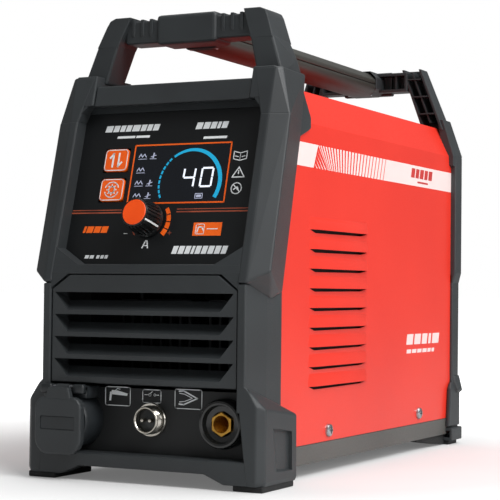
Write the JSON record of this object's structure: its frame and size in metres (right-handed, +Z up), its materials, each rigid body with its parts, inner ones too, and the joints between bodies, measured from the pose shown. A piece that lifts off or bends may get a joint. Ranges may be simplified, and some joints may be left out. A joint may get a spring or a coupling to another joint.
{
  "type": "plasma cutter power source",
  "caption": "Portable inverter plasma cutter: leaning panel with display, buttons and knob over a slotted grille and socket bay, folded steel cover, twin-loop carry handle.",
  "frame": {"origin": "on the floor, under the middle of the whole object's box", "axes": "+Z up; the front faces -Y; +X is on the right of a person facing the front"},
  "size_m": [0.152, 0.344, 0.269],
  "materials": {
    "frame_plastic": "moulded, fine texture",
    "grip_plastic": "moulded, fine texture",
    "red_paint": "textured powder coat",
    "grey_paint": "textured powder coat",
    "zinc_steel": "zinc plated",
    "rubber": "moulded",
    "panel_film": "printed satin film",
    "dark_lens": "smoked lens",
    "orange_plastic": "moulded",
    "black_plastic": "moulded",
    "nickel": "nickel plated",
    "brass": "turned",
    "aluminium": "extruded",
    "circuit_board": "solder mask",
    "copper": "enamelled wire",
    "ferrite": "sintered",
    "capacitor_sleeve": "heat-shrunk sleeve",
    "hose_rubber": "braided hose"
  },
  "bodies": {
    "case": {"air_hose": "hose_rubber", "air_inlet_tail": "brass", "board_posts": "zinc_steel", "board_spacers": "black_plastic", "cable_gland": "black_plastic", "cable_gland_nut": "black_plastic", "chassis_tray": "grey_paint", "clamp_socket_brass": "brass", "clamp_socket_nut": "brass", "clamp_socket_ring": "black_plastic", "connector_plate": "panel_film", "control_board": "circuit_board", "control_panel": "panel_film", "control_socket_insert": "black_plastic", "control_socket_nut": "nickel", "control_socket_pins": "brass", "control_socket_shell": "nickel", "cover": "red_paint", "cover_screws": "zinc_steel", "display_module": "black_plastic", "display_window": "dark_lens", "earth_nut": "zinc_steel", "earth_stud": "zinc_steel", "fan_guard": "zinc_steel", "fan_housing": "black_plastic", "fan_screws": "zinc_steel", "filter_capacitors": "capacitor_sleeve", "flap_hinge_pin": "zinc_steel", "flap_spring": "zinc_steel", "front_frame": "frame_plastic", "front_grille": "frame_plastic", "handle_lower_shell": "grip_plastic", "handle_screws": "zinc_steel", "handle_upper_shell": "grip_plastic", "left_heatsink": "aluminium", "main_board": "circuit_board", "output_choke": "ferrite", "potentiometer": "zinc_steel", "power_switch_body": "black_plastic", "power_transistors": "black_plastic", "precharge_relay": "black_plastic", "rear_frame": "grip_plastic", "rear_panel": "grey_paint", "right_heatsink": "aluminium", "rubber_feet": "rubber", "solenoid_valve": "black_plastic", "tact_switches": "black_plastic", "torch_connector": "brass", "torch_signal_pins": "brass", "torch_socket_housing": "black_plastic", "transformer_core": "ferrite", "transformer_winding": "copper"},
    "knob": {"knob_body": "black_plastic", "knob_cap": "orange_plastic", "potentiometer_shaft": "zinc_steel"},
    "mode_key": {"mode_button": "orange_plastic"},
    "gas_key": {"gas_test_button": "orange_plastic"},
    "flap": {"torch_socket_flap": "frame_plastic"},
    "rocker": {"power_rocker": "black_plastic"},
    "fan": {"fan_rotor": "black_plastic"}
  },
  "joints": [
    {"name": "current_knob", "type": "hinge", "parent": "case", "child": "knob", "pos_m": [-0.0075, -0.14364, 0.14677], "axis": [0, -0.9659, 0.2588], "range_deg": [-18, 252]},
    {"name": "mode_button_press", "type": "slide", "parent": "case", "child": "mode_key", "axis": [0, 0.9659, -0.2588], "range_m": [0, 0.0008], "stiffness_N_per_m": 400},
    {"name": "gas_button_press", "type": "slide", "parent": "case", "child": "gas_key", "axis": [0, 0.9659, -0.2588], "range_m": [0, 0.0008], "stiffness_N_per_m": 400},
    {"name": "torch_flap_hinge", "type": "hinge", "parent": "case", "child": "flap", "pos_m": [-0.0484, -0.165, 0.0518], "axis": [-1, 0, 0], "range_deg": [0, 95], "stiffness_Nm_per_rad": 0.02, "springref_deg": -34.38},
    {"name": "power_rocker_hinge", "type": "hinge", "parent": "case", "child": "rocker", "pos_m": [-0.026, 0.1555, 0.19], "axis": [1, 0, 0], "range_deg": [0, 12]},
    {"name": "fan_spin", "type": "hinge", "parent": "case", "child": "fan", "pos_m": [0, 0.1455, 0.128], "axis": [0, 1, 0], "continuous": true}
  ]
}
